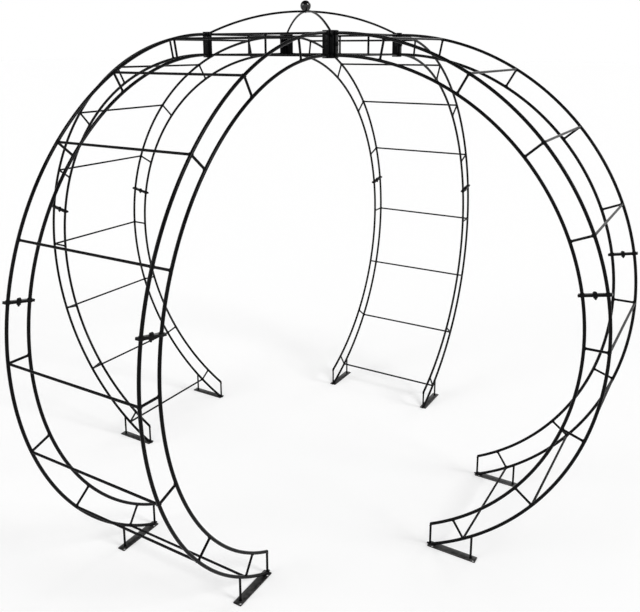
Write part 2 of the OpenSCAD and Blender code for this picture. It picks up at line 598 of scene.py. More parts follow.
@dataclass(frozen=True)
class Bead:
    """The form of the weld beads. Shares are of a bead's own radius.

    Attributes:
        sides: Faces across a bead.
        steps: Faces along a bead round a rod.
        sink: Share by which its core stands off the corner that it fills.
        ripple: Share of its short waves.
        sway: Share of its broad waves round a rod.
        sway_waves: Number of broad waves round a rod.
        waves: Numbers of short waves round a rod, one of which is drawn.
        cuts: Rings along a straight bead.
        taper: Share of its width at the ends of a straight bead.
        wave: Pace of the waves along a straight bead.
        rub: How far its coat is rubbed.
    """

    sides: int = 8
    steps: int = 30
    sink: float = 0.25
    ripple: float = 0.16
    sway: float = 0.1
    sway_waves: int = 3
    waves: tuple[int, ...] = (9, 10, 11)
    cuts: int = 22
    taper: float = 0.35
    wave: float = 2.6
    rub: float = 0.5


@dataclass(frozen=True)
class Thread:
    """The form of a bolt's thread. Shares are of its pitch.

    Attributes:
        pitch: Distance between its crests.
        depth: Share by which its root lies below its crest.
        crest: Shares between which its crest is flat.
        relief: How far the crest stays inside the bolt's radius.
        steps: Faces in a turn.
        core_gap: How far the core stands proud of the root.
        core_sides: Faces around the core.
        core_edge: Rounding of the core's end.
    """

    pitch: float = 0.0015
    depth: float = 0.55
    crest: tuple[float, float] = (0.42, 0.58)
    relief: float = 0.00005
    steps: int = 16
    core_gap: float = 0.00008
    core_sides: int = 16
    core_edge: float = 0.0004


class Workpiece:
    """A piece being made: one mesh, and the steps that shape it.

    Attributes:
        hex_sides: Faces around a hexagon.
        hex_corner: Angle above which an edge of a hexagon is rounded.
        rim_corner: Angle above which an edge of a round rod is rounded.
    """

    hex_sides: int = 6
    hex_corner: float = 25.0
    rim_corner: float = 60.0

    def __init__(self, seed: int = 1) -> None:
        """Starts an empty mesh.

        Args:
            seed: Seed of the welds' unevenness.
        """
        self.mesh = bmesh.new()
        self.rub = self.mesh.verts.layers.float.new("rub")
        self.chance = random.Random(seed)
        self.bead_form = Bead()
        self.thread_form = Thread()

    def round_edges(self, edges: Sequence[bmesh.types.BMEdge], size: float, steps: int = 2) -> None:
        """Rounds edges and marks their crests as rubbed.

        Args:
            edges: The edges.
            size: Width of the rounding.
            steps: Faces across it.
        """
        done = bmesh.ops.bevel(
            self.mesh,
            geom=list(edges),
            offset=size,
            offset_type="OFFSET",
            segments=steps,
            profile=0.5,
            affect="EDGES",
            material=-1,
            clamp_overlap=True,
        )
        new = set(done["faces"])
        for vert in done["verts"]:
            if vert.is_valid and all(face in new for face in vert.link_faces):
                vert[self.rub] = 1.0

    def round_folds(self, size: float) -> None:
        """Rounds every fold of a flat piece by a width."""
        self.round_edges([e for e in self.mesh.edges if e.calc_face_angle(0.0) > EDGE_FOLD], size)

    def _sharp(
        self, verts: Iterable[bmesh.types.BMVert], angle: float = 40.0
    ) -> list[bmesh.types.BMEdge]:
        """Finds the sharp edges of some vertices.

        Args:
            verts: The vertices.
            angle: Angle above which an edge is sharp.

        Returns:
            The edges.
        """
        edges = {edge for vert in verts for edge in vert.link_edges}
        limit = math.radians(angle)
        return [e for e in edges if len(e.link_faces) == 2 and e.calc_face_angle(0.0) > limit]

    def cut(self, point: Vector, away: Vector) -> None:
        """Cuts off what lies past a plane, and closes the cut.

        Args:
            point: Point on the plane.
            away: Direction of what goes.
        """
        mesh = self.mesh
        parts = mesh.verts[:] + mesh.edges[:] + mesh.faces[:]
        bmesh.ops.bisect_plane(mesh, geom=parts, plane_co=point, plane_no=away, clear_outer=True)
        bmesh.ops.edgeloop_fill(mesh, edges=[e for e in mesh.edges if e.is_boundary])

    def thicken(self, height: float) -> None:
        """Raises the flat faces into a solid.

        Args:
            height: Height of the solid.
        """
        raised = bmesh.ops.extrude_face_region(self.mesh, geom=self.mesh.faces[:])["geom"]
        lifted = [v for v in raised if isinstance(v, bmesh.types.BMVert)]
        bmesh.ops.translate(self.mesh, vec=(0, 0, height), verts=lifted)
        bmesh.ops.recalc_face_normals(self.mesh, faces=self.mesh.faces[:])

    def rod(
        self,
        start: Vector,
        end: Vector,
        radius: float,
        sides: int = 20,
        rounding: float = 0.0,
    ) -> list[bmesh.types.BMVert]:
        """Adds a straight round rod.

        Args:
            start: Middle of its first end.
            end: Middle of its second end.
            radius: Its radius.
            sides: Faces around it.
            rounding: Rounding of its end edges.

        Returns:
            Its vertices.
        """
        along = end - start
        turn = along.to_track_quat("Z", "Y").to_matrix().to_4x4()
        made = bmesh.ops.create_cone(
            self.mesh,
            cap_ends=True,
            segments=sides,
            radius1=radius,
            radius2=radius,
            depth=along.length,
            matrix=Matrix.Translation((start + end) / 2) @ turn,
        )["verts"]
        if rounding:
            corner = self.rim_corner if sides > self.hex_sides else self.hex_corner
            self.round_edges(self._sharp(made, corner), rounding)
        return made

    def arc(
        self,
        hub: Vector,
        start: Vector,
        ahead: Vector,
        axis: Vector,
        angle: float,
        radius: float,
        steps: int,
        sides: int = 24,
    ) -> None:
        """Adds a bar bent round a hub, closed at both ends.

        Args:
            hub: Centre of the bend.
            start: Middle of the bar's first end.
            ahead: Direction of the bar there.
            axis: Axis of the bend.
            angle: Angle of the bend.
            radius: Radius of the bar.
            steps: Rings along it.
            sides: Faces around it.
        """
        place = Matrix.Translation(start) @ ahead.to_track_quat("Z", "X").to_matrix().to_4x4()
        ring = bmesh.ops.create_circle(
            self.mesh, cap_ends=False, segments=sides, radius=radius, matrix=place
        )["verts"]
        first = list({e for v in ring for e in v.link_edges})
        swept = bmesh.ops.spin(
            self.mesh,
            geom=ring + first,
            cent=hub,
            axis=axis,
            angle=math.radians(angle),
            steps=steps,
            use_duplicate=False,
        )
        last = [e for e in swept["geom_last"] if isinstance(e, bmesh.types.BMEdge)]
        bmesh.ops.edgeloop_fill(self.mesh, edges=first)
        bmesh.ops.edgeloop_fill(self.mesh, edges=last)

    def block(self, middle: Vector, axes: Matrix, size: Vector, rounding: float) -> None:
        """Adds a flat bar or block with rounded edges.

        Args:
            middle: Its middle.
            axes: Turn of its own axes.
            size: Its three sizes.
            rounding: Rounding of its edges.
        """
        place = Matrix.Translation(middle) @ axes.to_4x4() @ Matrix.Diagonal((*size, 1.0))
        made = bmesh.ops.create_cube(self.mesh, size=1.0, matrix=place)["verts"]
        self.round_edges(self._sharp(made), rounding)

    def ring_weld(
        self,
        middle: Vector,
        along: Vector,
        across: Vector,
        radius: float,
        saddle: float = 0.0,
        bead: float = 0.0021,
        stretch: float = 1.0,
    ) -> None:
        """Adds a weld bead round a rod, where it meets a bar, a plate or another rod.

        Args:
            middle: Point where the rod's axis meets the other piece's axis or face.
            along: Direction of the rod, away from the other piece.
            across: Direction of the other bar; any direction on a plate.
            radius: Radius of the rod.
            saddle: Radius of the other bar; 0 on a flat face.
            bead: Radius of the bead.
            stretch: How much longer the bead is along the other bar.
        """
        form = self.bead_form
        along, across = along.normalized(), across.normalized()
        side = along.cross(across)
        turn = Matrix((side, across, along)).transposed().to_4x4()
        core = Matrix.Translation((radius + form.sink * bead, 0.0, form.sink * bead))
        section = core @ Matrix.Rotation(math.pi / 2, 4, "X")
        ring = bmesh.ops.create_circle(
            self.mesh, cap_ends=False, segments=form.sides, radius=bead, matrix=section
        )["verts"]
        edges = list({e for v in ring for e in v.link_edges})
        before = set(self.mesh.verts) - set(ring)
        bmesh.ops.spin(
            self.mesh,
            geom=ring + edges,
            cent=(0, 0, 0),
            axis=Z_AXIS,
            angle=math.tau,
            steps=form.steps,
            use_merge=True,
            use_duplicate=False,
        )
        made = [v for v in self.mesh.verts if v not in before]
        start = self.chance.uniform(0, math.tau)
        waves = self.chance.choice(form.waves)
        for vert in made:
            turned = math.atan2(vert.co.y, vert.co.x)
            short = form.ripple * math.sin(waves * turned + start)
            broad = form.sway * math.sin(form.sway_waves * turned + 2 * start)
            ripple = 1.0 + short + broad
            rim = Vector((math.cos(turned) * radius, math.sin(turned) * radius, 0.0))
            vert.co = rim + (vert.co - rim) * ripple
            vert.co.y *= stretch
            if saddle:
                vert.co.z += math.sqrt(max(saddle**2 - (radius * math.cos(turned)) ** 2, 0.0))
            vert[self.rub] = form.rub
        bmesh.ops.transform(self.mesh, matrix=Matrix.Translation(middle) @ turn, verts=made)

    def seam_weld(self, start: Vector, end: Vector, bead: float = 0.002) -> None:
        """Adds a straight rippled weld bead.

        Args:
            start: Its first end.
            end: Its second end.
            bead: Its radius.
        """
        form = self.bead_form
        before = set(self.mesh.verts)
        edges = {e for v in self.rod(start, end, bead, form.sides) for e in v.link_edges}
        long = [e for e in edges if e.calc_length() > bead * 1.5]
        bmesh.ops.subdivide_edges(self.mesh, edges=long, cuts=form.cuts, use_grid_fill=False)
        along = (end - start).normalized()
        length = (end - start).length
        phase = self.chance.uniform(0, math.tau)
        for vert in (v for v in self.mesh.verts if v not in before):
            share = min(max((vert.co - start).dot(along) / length, 0.0), 1.0)
            core = start + along * (share * length)
            belly = math.sqrt(max(1.0 - (2 * share - 1) ** 2, 0.0))
            swell = form.taper + (1.0 - form.taper) * belly
            ripple = 1.0 + form.ripple * math.sin(share * length / bead * form.wave + phase)
            vert.co = core + (vert.co - core) * swell * ripple
            vert[self.rub] = form.rub

    def thread(self, start: Vector, along: Vector, radius: float, length: float) -> None:
        """Adds the helical thread of a bolt's end.

        Args:
            start: Where the thread starts.
            along: Direction of the bolt.
            radius: Outer radius of the thread.
            length: Length of the thread.
        """
        form = self.thread_form
        pitch = form.pitch
        root = radius - form.depth * pitch
        crest = radius - form.relief
        rise, fall = form.crest
        outline = ((root, 0.0), (crest, rise * pitch), (crest, fall * pitch), (root, pitch))
        before = set(self.mesh.verts)
        verts = [self.mesh.verts.new((r, 0.0, h)) for r, h in outline]
        edges = [self.mesh.edges.new(pair) for pair in zip(verts, verts[1:])]
        turns = int(length / pitch) - 1
        bmesh.ops.spin(
            self.mesh,
            geom=verts + edges,
            cent=(0, 0, 0),
            axis=Z_AXIS,
            dvec=(0, 0, pitch / form.steps),
            angle=math.tau * turns,
            steps=form.steps * turns,
            use_duplicate=False,
        )
        made = [v for v in self.mesh.verts if v not in before]
        bmesh.ops.remove_doubles(self.mesh, verts=made, dist=SAME_PLACE)
        made = [v for v in self.mesh.verts if v not in before]
        for vert in made:
            vert[self.rub] = 1.0 if Vector(vert.co.xy).length > root + 10 * SAME_PLACE else 0.0
        ahead = along.normalized()
        turn = ahead.to_track_quat("Z", "Y").to_matrix().to_4x4()
        bmesh.ops.transform(self.mesh, matrix=Matrix.Translation(start) @ turn, verts=made)
        core = root + form.core_gap
        self.rod(start, start + ahead * length, core, form.core_sides, form.core_edge)

    def finish(
        self,
        name: str,
        look: Finish,
        paints: Paints,
        turn: Matrix = UNTURNED,
        nodes: Sequence[str] = (),
        seams: float = 38.0,
    ) -> bpy.types.Object:
        """Turns the mesh into a finished object that rides on the gazebo.

        Args:
            name: Name of the piece.
            look: Its finish.
            paints: The materials of the finishes.
            turn: Turn of the arm that the piece belongs to.
            nodes: Frame nodes that it stands for.
            seams: Angle above which an edge stays sharp.

        Returns:
            The object.
        """
        bmesh.ops.transform(self.mesh, matrix=turn, verts=self.mesh.verts[:])
        bmesh.ops.recalc_face_normals(self.mesh, faces=self.mesh.faces[:])
        data = bpy.data.meshes.new(name)
        self.mesh.to_mesh(data)
        self.mesh.free()
        data.materials.append(paints[look])
        data.shade_smooth()
        data.set_sharp_from_angle(angle=math.radians(seams))
        piece = bpy.data.objects.new(name, data)
        bpy.context.scene.collection.objects.link(piece)
        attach(piece, "root")
        if nodes:
            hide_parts(*nodes)
        return piece


@dataclass
class LadderArm:
    """One arm: two ribs in two halves each, with the rungs between them.

    Attributes:
        arm: Which arm.
        paints: The materials of the finishes.
        sizes: Shared sizes.
        ring_pitch: Angle between the rings of a bent bar.
        edge: Rounding of the flats' edges.
        bar_stop: Angle by which a bar stops short of a joint's middle.
        foot_over: Angle by which the outer bar overshoots its plate, before it is cut level.
        flat_bead: Radius of the beads on the flats.
        post_bead: Radius of the beads under the post and the drop strut.
        foot_bead: Radius of the bead under the outer bar.
    """

    arm: Arm
    paints: Paints
    sizes: GazeboSizes = field(default_factory=GazeboSizes)
    ring_pitch: float = 0.9
    edge: float = 0.0006
    bar_stop: float = 0.1
    foot_over: float = 0.6
    flat_bead: float = 0.0024
    post_bead: float = 0.0018
    foot_bead: float = 0.0026

    def _bar(self, piece: Workpiece, hand: Hand, radius: float, start: float, end: float) -> None:
        """Adds one bent bar of a rib.

        Args:
            piece: The rib half.
            hand: Which rib.
            radius: Radius of the bend.
            start: Angle of the bar's upper end.
            end: Angle of its lower end.
        """
        s = self.sizes
        hub = s.on_rib(hand.value, 0.0, 0.0)
        first = s.on_rib(hand.value, start, radius)
        rings = math.ceil((end - start) / self.ring_pitch)
        piece.arc(hub, first, s.tangent(start), X_AXIS, end - start, s.bar_r, rings)

    def _flat(self, piece: Workpiece, hand: Hand, angle: float, reach: float, shift: float) -> None:
        """Adds the flat that closes a rib half.

        Args:
            piece: The rib half.
            hand: Which rib.
            angle: Angle of the joint.
            reach: How far the flat runs past the bars.
            shift: Side of the joint on which it lies, up the rib or down it.
        """
        s = self.sizes
        axes = Matrix((X_AXIS, s.radial(angle), -s.tangent(angle))).transposed()
        middle = s.on_rib(hand.value, angle, s.mid_radius) - s.tangent(angle) * (shift * s.flat_t / 2)
        piece.block(middle, axes, Vector((s.flat_w, s.rib_depth + 2 * reach, s.flat_t)), self.edge)

    def _flat_welds(self, welds: Workpiece, hand: Hand, angle: float, side: float) -> None:
        """Adds the beads round both bars where they meet a flat's face.

        Args:
            welds: The beads of the rib half.
            hand: Which rib.
            angle: Angle of the joint.
            side: Side of the joint on which the flat lies.
        """
        s = self.sizes
        for radius in (s.inner_radius, s.rib_radius):
            face = s.on_rib(hand.value, angle, radius) - s.tangent(angle) * (side * s.flat_t)
            welds.ring_weld(face, -s.tangent(angle) * side, X_AXIS, s.bar_r, bead=self.flat_bead)

    def _strut(self, piece: Workpiece, welds: Workpiece, hand: Hand, angle: float) -> None:
        """Adds a strut, with the beads at both of its ends and at the rung beside it.

        Args:
            piece: The rib half.
            welds: Its beads.
            hand: Which rib.
            angle: Angle of the strut.
        """
        s = self.sizes
        inner = s.on_rib(hand.value, angle, s.inner_radius)
        outer = s.on_rib(hand.value, angle, s.rib_radius)
        piece.rod(inner, outer, s.rod_r)
        welds.ring_weld(inner, s.radial(angle), s.tangent(angle), s.rod_r, s.bar_r)
        welds.ring_weld(outer, -s.radial(angle), s.tangent(angle), s.rod_r, s.bar_r)
        welds.ring_weld(outer, -hand.value * X_AXIS, s.tangent(angle), s.rod_r, s.bar_r)

    def _seed(self, hand: Hand, half: Half) -> int:
        """Seed of a rib half's beads, another one for each half."""
        return 17 * self.arm.value + 5 * hand.value + (3 if half is Half.LOWER else 0) + 40

    def rib_half(self, hand: Hand, half: Half) -> None:
        """Builds half a rib with its struts, flats and, below, its foot posts.

        Args:
            hand: Which rib.
            half: Which half of it.
        """
        s = self.sizes
        piece = Workpiece()
        welds = Workpiece(seed=self._seed(hand, half))
        for angle in s.strut_angles(half):
            self._strut(piece, welds, hand, angle)
        reach = s.bar_r + s.flat_overhang
        if half is Half.UPPER:
            for radius in (s.rib_radius, s.inner_radius):
                self._bar(piece, hand, radius, self.bar_stop, s.joint_angle - self.bar_stop)
            self._flat(piece, hand, 0.0, s.corner_margin, -1)
            self._flat(piece, hand, s.joint_angle, reach, 1)
            self._flat_welds(welds, hand, 0.0, -1)
            self._flat_welds(welds, hand, s.joint_angle, 1)
        else:
            self._foot_end(piece, welds, hand)
            self._flat(piece, hand, s.joint_angle, reach, -1)
            self._flat_welds(welds, hand, s.joint_angle, -1)
        label = f"{self.arm.label}_{half.value}_rib_{hand.label}"
        piece.finish(f"{label}_tubes", Finish.BARS, self.paints, self.arm.turn, [label])
        welds.finish(f"{label}_welds", Finish.WELDS, self.paints, self.arm.turn, seams=WELD_SEAMS)

    def _foot_end(self, piece: Workpiece, welds: Workpiece, hand: Hand) -> None:
        """Adds the lower ends of the bars, with the post and the drop strut on the foot plate.

        Args:
            piece: The rib half.
            welds: Its beads.
            hand: Which rib.
        """
        s = self.sizes
        inner_end = 180 - math.degrees(math.asin(s.post_out / s.inner_radius))
        drop = 180 - math.degrees(math.asin(s.drop_out / s.rib_radius))
        upper_end = s.joint_angle + self.bar_stop
        self._bar(piece, hand, s.rib_radius, upper_end, s.foot_angle + self.foot_over)
        self._bar(piece, hand, s.inner_radius, upper_end, inner_end)
        piece.cut(s.foot_t * Z_AXIS, -Z_AXIS)
        for angle, radius in ((inner_end, s.inner_radius), (drop, s.rib_radius)):
            top = s.on_rib(hand.value, angle, radius)
            foot = Vector((top.x, top.y, s.foot_t))
            piece.rod(top, foot, s.rod_r)
            welds.ring_weld(foot, Z_AXIS, X_AXIS, s.rod_r, bead=self.post_bead)
            welds.ring_weld(top, -Z_AXIS, s.tangent(angle), s.rod_r, s.bar_r)
        landing = s.on_rib(hand.value, s.foot_angle, s.rib_radius)
        slant = 1.0 / math.sin(math.radians(s.foot_angle))
        welds.ring_weld(landing, Z_AXIS, Y_AXIS, s.bar_r, bead=self.foot_bead, stretch=slant)

    def rung_set(self, half: Half) -> None:
        """Builds the rungs between the two ribs.

        Args:
            half: Which half of the ribs.
        """
        s = self.sizes
        piece = Workpiece()
        reach = s.rib_plane - s.bar_r - s.weld_gap
        for angle in s.strut_angles(half):
            middle = s.on_rib(0.0, angle, s.rib_radius)
            piece.rod(middle - reach * X_AXIS, middle + reach * X_AXIS, s.rod_r)
        label = f"{self.arm.label}_{half.value}_rungs"
        piece.finish(f"{label}_rods", Finish.RODS, self.paints, self.arm.turn, [label])

    def build(self) -> None:
        """Builds the whole arm."""
        for half in Half:
            for hand in Hand:
                self.rib_half(hand, half)
            self.rung_set(half)


@dataclass
class FootPlates:
    """The drilled plates under the eight ribs.

    Attributes:
        paints: The materials of the finishes.
        sizes: Shared sizes.
        width: Width of a plate.
        corner_r: Radius of its corners.
        heel: How far it reaches inwards past its post.
        hole_d: Diameter of its anchor holes.
        hole_side: Sideways distance of the holes from the rib.
        hole_ahead: Distance of a hole from the post or strut beside it.
        hole_edge: Distance from the outer hole to the plate's end.
        hole_sides: Faces around a hole.
        corner_steps: Faces across a corner.
        edge: Rounding of the plate's edges.
    """

    paints: Paints
    sizes: GazeboSizes = field(default_factory=GazeboSizes)
    width: float = 0.046
    corner_r: float = 0.005
    heel: float = 0.002
    hole_d: float = 0.011
    hole_side: float = 0.0145
    hole_ahead: float = 0.018
    hole_edge: float = 0.012
    hole_sides: int = 28
    corner_steps: int = 5
    edge: float = 0.0006

    def plate(self, arm: Arm, hand: Hand) -> None:
        """Builds one plate.

        Args:
            arm: The plate's arm.
            hand: The rib that stands on it.
        """
        s = self.sizes
        piece = Workpiece()
        mesh = piece.mesh
        near = s.post_out - s.rod_r - self.heel
        holes = [s.post_out + self.hole_ahead, s.drop_out + self.hole_ahead]
        far = holes[1] + self.hole_edge
        rib = hand.value * s.rib_plane
        place = Matrix.Translation((rib, -s.half_crown - (near + far) / 2, 0.0))
        shape = place @ Matrix.Diagonal((self.width, far - near, 1.0, 1.0))
        square = bmesh.ops.create_grid(mesh, x_segments=1, y_segments=1, size=0.5, matrix=shape)
        bmesh.ops.bevel(
            mesh,
            geom=square["verts"],
            offset=self.corner_r,
            offset_type="OFFSET",
            segments=self.corner_steps,
            profile=0.5,
            affect="VERTICES",
            material=-1,
        )
        bmesh.ops.delete(mesh, geom=mesh.faces[:], context="FACES_ONLY")
        side = self.hole_side if arm in (Arm.FRONT, Arm.BACK) else -self.hole_side
        radius = self.hole_d / 2
        for out in holes:
            spot = Matrix.Translation((rib + side, -s.half_crown - out, 0.0))
            bmesh.ops.create_circle(
                mesh, cap_ends=False, segments=self.hole_sides, radius=radius, matrix=spot
            )
        bmesh.ops.triangle_fill(mesh, use_beauty=True, use_dissolve=False, edges=mesh.edges[:])
        piece.thicken(s.foot_t)
        piece.round_folds(self.edge)
        label = f"{arm.label}_foot_plate_{hand.label}"
        piece.finish(f"{label}_drilled", Finish.PLATES, self.paints, arm.turn, [label], IRON_SEAMS)

    def build(self) -> None:
        """Builds all the plates."""
        for arm in Arm:
            for hand in Hand:
                self.plate(arm, hand)


@dataclass
class Crown:
    """The square crown: corner angles and the round bars between them.

    Attributes:
        paints: The materials of the finishes.
        sizes: Shared sizes.
        bar_lap: How far a crown bar overlaps a corner angle.
        bar_edge: Rounding of a crown bar's ends.
        heel_r: Radius of an angle's outer corner.
        root_r: Radius of its inner corner.
        corner_steps: Faces across those corners.
        edge: Rounding of an angle's edges.
        bead_start: Distance of a bead from the inner end of the lap.
        bead_stop: Distance of a bead from the bar's end.
        bead_inset: How far a bead's middle lies inside the bar's outer side.
        bead_rise: Height of a bead beside the bar's middle, as a share of its radius.
    """

    paints: Paints
    sizes: GazeboSizes = field(default_factory=GazeboSizes)
    bar_lap: float = 0.03
    bar_edge: float = 0.0006
    heel_r: float = 0.0015
    root_r: float = 0.004
    corner_steps: int = 5
    edge: float = 0.0006
    bead_start: float = 0.002
    bead_stop: float = 0.001
    bead_inset: float = 0.0008
    bead_rise: float = 0.75

    def _round_fold(self, piece: Workpiece, x: float, y: float, size: float) -> None:
        """Rounds an upright fold of an angle.

        Args:
            piece: The angle.
            x: Place of the fold to the side.
            y: Place of the fold ahead.
            size: Radius of the fold.
        """
        fold = [
            e
            for e in piece.mesh.edges
            if all(abs(v.co.x - x) < SAME_PLACE and abs(v.co.y - y) < SAME_PLACE for v in e.verts)
        ]
        bmesh.ops.bevel(
            piece.mesh,
            geom=fold,
            offset=size,
            offset_type="OFFSET",
            segments=self.corner_steps,
            profile=0.5,
            affect="EDGES",
            material=-1,
        )

    def corner(self, arm: Arm) -> None:
        """Builds the corner angle between an arm and the next.

        Args:
            arm: The first of the two arms.
        """
        s = self.sizes
        piece = Workpiece()
        mesh = piece.mesh
        heel = s.half_crown
        root = heel - s.corner_t
        toe = heel - s.corner_leg
        low = s.crown_top - s.crown_height
        outline = ((heel, -heel), (heel, -toe), (root, -toe), (root, -root), (toe, -root), (toe, -heel))
        mesh.faces.new([mesh.verts.new((x, y, low)) for x, y in outline])
        piece.thicken(s.crown_height)
        self._round_fold(piece, heel, -heel, self.heel_r)
        self._round_fold(piece, root, -root, self.root_r)
        piece.round_folds(self.edge)
        names = ("front_right", "back_right", "back_left", "front_left")
        label = f"{names[arm.value]}_corner_angle"
        piece.finish(f"{label}_iron", Finish.ANGLES, self.paints, arm.turn, [label], IRON_SEAMS)

    def side(self, arm: Arm) -> None:
        """Builds the two bars and the upright on one side of the crown.

        Args:
            arm: The arm that springs from this side.
        """
        s = self.sizes
        piece = Workpiece()
        welds = Workpiece(seed=90 + arm.value)
        half = s.half_crown - s.corner_leg + self.bar_lap
        out = -(s.half_crown - s.corner_t - s.rod_r - s.weld_gap)
        seam = out - s.rod_r + self.bead_inset
        for radius in (s.rib_radius, s.inner_radius):
            z = s.centre_height + radius
            piece.rod(Vector((-half, out, z)), Vector((half, out, z)), s.rod_r, rounding=self.bar_edge)
            for end in (-1, 1):
                start = end * (half - self.bar_lap + self.bead_start)
                stop = end * (half - self.bead_stop)
                for rise in (-1, 1):
                    up = z + rise * s.rod_r * self.bead_rise
                    welds.seam_weld(Vector((start, seam, up)), Vector((stop, seam, up)))
        low = Vector((0.0, out, s.centre_height + s.inner_radius))
        high = Vector((0.0, out, s.centre_height + s.rib_radius))
        piece.rod(low, high, s.rod_r)
        welds.ring_weld(low, Z_AXIS, X_AXIS, s.rod_r, s.rod_r)
        welds.ring_weld(high, -Z_AXIS, X_AXIS, s.rod_r, s.rod_r)
        label = f"{arm.label}_crown_side"
        piece.finish(f"{label}_rods", Finish.RODS, self.paints, arm.turn, [label])
        welds.finish(f"{label}_welds", Finish.WELDS, self.paints, arm.turn, seams=WELD_SEAMS)

    def build(self) -> None:
        """Builds the whole crown."""
        for arm in Arm:
            self.corner(arm)
            self.side(arm)


@dataclass
class Dome:
    """The crossed hoops over the crown, with the ball finial on top.

    Attributes:
        paints: The materials of the finishes.
        sizes: Shared sizes.
        rise: Height of the hoops above their ends.
        seat_drop: Height of the hoop ends below the top of the crown.
        ball_d: Diameter of the ball.
        ball_flat: Height cut off the ball's underside.
        ball_rings: Faces around the ball and from its foot to its top.
        ring_pitch: Angle between the rings of a hoop.
        hoop_sides: Faces around a hoop's rod.
        end_gaps: Gap left at a hoop's end, in weld gaps.
        end_bead: Radius of the beads at a hoop's ends.
        end_sink: How far these beads reach into the hoop's end.
        seat_bead: Radius of the beads under the ball.
        seat_sink: How far they lie below the ball's seat.
        seat_start: Where they start, outside the hoops' crossing.
        seat_side: How far they lie beside a hoop's middle, as a share of its radius.
    """

    paints: Paints
    sizes: GazeboSizes = field(default_factory=GazeboSizes)
    rise: float = 0.134
    seat_drop: float = 0.019
    ball_d: float = 0.06
    ball_flat: float = 0.006
    ball_rings: tuple[int, int] = (72, 48)
    ring_pitch: float = 0.6
    hoop_sides: int = 20
    end_gaps: float = 1.5
    end_bead: float = 0.0018
    end_sink: float = 0.001
    seat_bead: float = 0.0016
    seat_sink: float = 0.0012
    seat_start: float = 0.002
    seat_side: float = 0.7

    @property
    def end_height(self) -> float:
        """Height of the hoops' ends."""
        return self.sizes.crown_top - self.seat_drop

    @property
    def top(self) -> Vector:
        """Point where the hoops cross."""
        return Vector((0.0, 0.0, self.end_height + self.rise))

    @property
    def half_span(self) -> float:
        """Distance of a hoop's end from the middle."""
        s = self.sizes
        corner = (s.half_crown - s.corner_t) * math.sqrt(2)
        return corner - s.rod_r - self.end_gaps * s.weld_gap

    def _hoop_part(self, near: float, far: float) -> Workpiece:
        """Bends a hoop and trims it upright at both ends.

        Args:
            near: Where its first end stands.
            far: Where its second end stands.

        Returns:
            The part of the hoop, in the plane of the X axis.
        """
        radius = (self.half_span**2 + self.rise**2) / (2 * self.rise)
        hub = self.top - radius * Z_AXIS
        reach = math.degrees(math.asin(self.half_span / radius)) + self.ring_pitch
        steps = 2 * math.ceil(reach / self.ring_pitch)
        a = math.radians(reach)
        start = hub + radius * Vector((-math.sin(a), 0.0, math.cos(a)))
        ahead = Vector((math.cos(a), 0.0, math.sin(a)))
        piece = Workpiece()
        piece.arc(hub, start, ahead, Y_AXIS, 2 * reach, self.sizes.rod_r, steps, self.hoop_sides)
        piece.cut(near * X_AXIS, -X_AXIS)
        piece.cut(far * X_AXIS, X_AXIS)
        return piece

    def hoop(self, name: str, turn: float, split: bool) -> None:
        """Builds one hoop from corner to corner.

        Args:
            name: Its node in the frame.
            turn: Turn of its plane about the upright axis.
            split: Whether it is in two halves, welded to the sides of the other hoop.
        """
        s = self.sizes
        gap = s.rod_r + s.weld_gap
        spans = {f"{name}_rod": (-self.half_span, self.half_span)}
        if split:
            spans = {
                f"{name}_near_half": (-self.half_span, -gap),
                f"{name}_far_half": (gap, self.half_span),
            }
        welds = Workpiece(seed=int(120 + turn))
        for end in (-1, 1):
            tip = Vector((end * (self.half_span - self.end_sink), 0.0, self.end_height))
            welds.ring_weld(tip, -end * X_AXIS, Z_AXIS, s.rod_r, bead=self.end_bead)
            if split:
                welds.ring_weld(self.top, end * X_AXIS, Y_AXIS, s.rod_r, s.rod_r, self.end_bead)
        swing = Matrix.Rotation(math.radians(turn), 4, "Z")
        for label, (near, far) in spans.items():
            self._hoop_part(near, far).finish(label, Finish.RODS, self.paints, swing, [name])
        welds.finish(f"{name}_welds", Finish.WELDS, self.paints, swing, seams=WELD_SEAMS)

    def finial(self) -> None:
        """Builds the ball, flat underneath, and the beads that hold it on the hoops."""
        s = self.sizes
        seat = self.top + (s.rod_r + s.weld_gap) * Z_AXIS
        radius = self.ball_d / 2
        around, up = self.ball_rings
        piece = Workpiece()
        middle = Matrix.Translation(seat + (radius - self.ball_flat) * Z_AXIS)
        bmesh.ops.create_uvsphere(
            piece.mesh, u_segments=around, v_segments=up, radius=radius, matrix=middle
        )
        piece.cut(seat, -Z_AXIS)
        piece.finish("ball_finial_body", Finish.BALL, self.paints, UNTURNED, ["ball_finial"])
        welds = Workpiece(seed=7)
        flat_r = math.sqrt(radius**2 - (radius - self.ball_flat) ** 2)
        for turn in range(45, 405, 90):
            out = Vector((math.cos(math.radians(turn)), math.sin(math.radians(turn)), 0.0))
            across = out.cross(Z_AXIS) * s.rod_r * self.seat_side
            for side in (-1, 1):
                place = seat + side * across - self.seat_sink * Z_AXIS
                start = place + out * (s.rod_r + self.seat_start)
                welds.seam_weld(start, place + out * flat_r, self.seat_bead)
        welds.finish("ball_finial_welds", Finish.WELDS, self.paints, seams=WELD_SEAMS)

    def build(self) -> None:
        """Builds the whole dome."""
        self.hoop("whole_hoop", -45.0, False)
        self.hoop("split_hoop", 45.0, True)
        self.finial()


